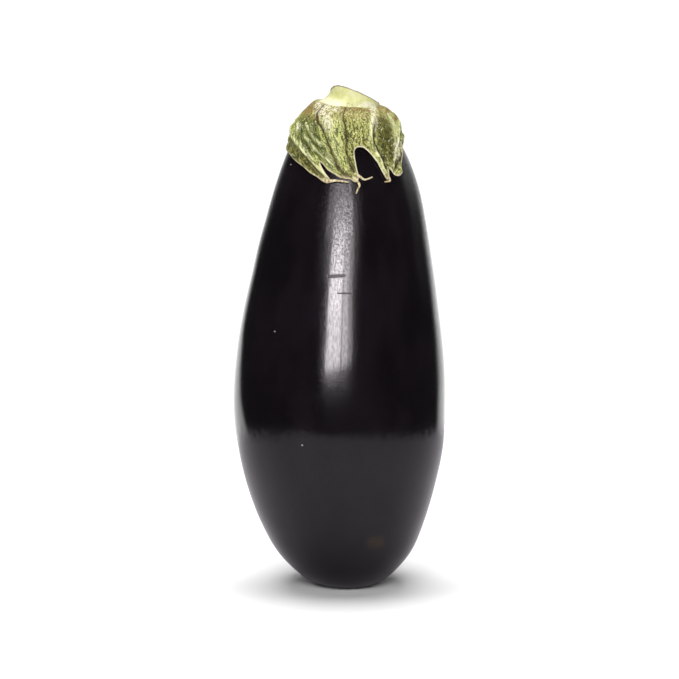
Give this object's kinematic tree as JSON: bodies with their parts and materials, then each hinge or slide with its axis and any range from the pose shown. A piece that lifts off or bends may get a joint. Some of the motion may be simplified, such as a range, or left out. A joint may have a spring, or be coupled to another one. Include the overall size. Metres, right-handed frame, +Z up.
{
  "type": "eggplant",
  "caption": "Dark purple, glossy elongated fruit standing on its blossom end, with a lobed green calyx and a short slant-cut stem stub.",
  "frame": {"origin": "middle of the flat spot on the blossom end that the fruit stands on", "axes": "+Z up along the fruit to the stem, -Y towards the front, where the round opening between two calyx lobes is, +X to the right seen from the front"},
  "size_m": [0.0846, 0.0846, 0.2022],
  "materials": {
    "skin": "smooth waxy skin, near-black purple, glossy",
    "calyx": "mottled green, dry and matte, with thin brown creases and pale margins",
    "stem": "pale yellow-green, smooth, matte, faint upright fibres"
  },
  "bodies": {
    "root": {"fruit": "skin", "calyx": "calyx", "stem": "stem"}
  },
  "joints": []
}
